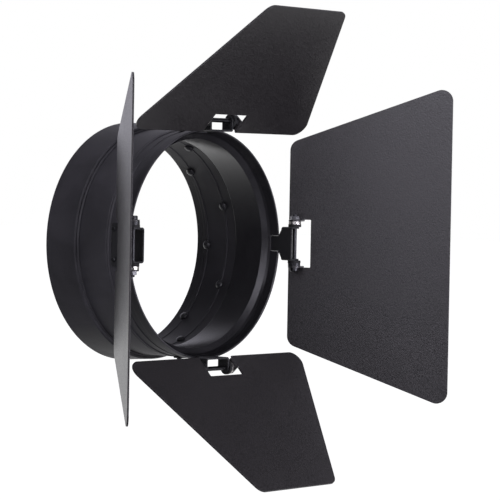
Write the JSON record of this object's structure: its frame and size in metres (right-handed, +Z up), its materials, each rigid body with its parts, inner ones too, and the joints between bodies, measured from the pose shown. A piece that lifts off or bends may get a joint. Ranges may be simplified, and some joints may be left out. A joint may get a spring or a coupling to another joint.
{
  "type": "barn door attachment",
  "caption": "Slip-on light shaper with hinged leaves on a turning ring, which fits over a studio flash reflector's rim to mask and shape the beam.",
  "frame": {"origin": "on the ring axis, at the adapter ring's rear face", "axes": "+Y along the ring axis towards the reflector, -Y the way the light goes, +Z up"},
  "size_m": [0.3868, 0.2277, 0.4043],
  "materials": {
    "adapter_plastic": "matt moulded charcoal",
    "stud_plastic": "smooth dark moulding",
    "spring_steel": "plain spring steel",
    "ring_metal": "satin black coating",
    "bracket_sheet": "matt black coating",
    "leaf_sheet": "fine-textured matt black coating",
    "black_steel": "black oxide",
    "dark_steel": "dark zinc",
    "bright_nickel": "bright nickel",
    "friction_washer": "black fibre"
  },
  "bodies": {
    "adapter": {"adapter_ring": "adapter_plastic", "front_stud_row": "stud_plastic", "rear_stud_row": "stud_plastic", "snap_ring": "spring_steel"},
    "door_ring": {"front_ring": "ring_metal", "top_bracket": "bracket_sheet", "top_rivets": "black_steel", "right_bracket": "bracket_sheet", "right_rivets": "black_steel", "bottom_bracket": "bracket_sheet", "bottom_rivets": "black_steel", "left_bracket": "bracket_sheet", "left_rivets": "black_steel"},
    "top_door": {"top_leaf": "leaf_sheet", "top_bolt": "black_steel", "top_nut": "dark_steel", "top_nut_washer": "friction_washer", "top_spring_washer": "bright_nickel", "top_head_washer": "friction_washer", "top_spacer": "black_steel"},
    "right_door": {"right_leaf": "leaf_sheet", "right_bolt": "black_steel", "right_nut": "dark_steel", "right_nut_washer": "friction_washer", "right_spring_washer": "bright_nickel", "right_head_washer": "friction_washer", "right_spacer": "black_steel"},
    "bottom_door": {"bottom_leaf": "leaf_sheet", "bottom_bolt": "black_steel", "bottom_nut": "dark_steel", "bottom_nut_washer": "friction_washer", "bottom_spring_washer": "bright_nickel", "bottom_head_washer": "friction_washer", "bottom_spacer": "black_steel"},
    "left_door": {"left_leaf": "leaf_sheet", "left_bolt": "black_steel", "left_nut": "dark_steel", "left_nut_washer": "friction_washer", "left_spring_washer": "bright_nickel", "left_head_washer": "friction_washer", "left_spacer": "black_steel"}
  },
  "joints": [
    {"name": "ring_turn", "type": "hinge", "parent": "adapter", "child": "door_ring", "pos_m": [0, -0.055, 0], "axis": [0, 1, 0], "continuous": true},
    {"name": "top_door_swing", "type": "hinge", "parent": "door_ring", "child": "top_door", "pos_m": [0, -0.103, 0.1075], "axis": [1, 0, 0], "range_deg": [-43.5, 86.5]},
    {"name": "right_door_swing", "type": "hinge", "parent": "door_ring", "child": "right_door", "pos_m": [0.1075, -0.103, 0], "axis": [0, 0, -1], "range_deg": [-67.5, 42.5]},
    {"name": "bottom_door_swing", "type": "hinge", "parent": "door_ring", "child": "bottom_door", "pos_m": [0, -0.103, -0.1075], "axis": [-1, 0, 0], "range_deg": [-42.5, 87.5]},
    {"name": "left_door_swing", "type": "hinge", "parent": "door_ring", "child": "left_door", "pos_m": [-0.1075, -0.103, 0], "axis": [0, 0, 1], "range_deg": [-47, 63]}
  ]
}
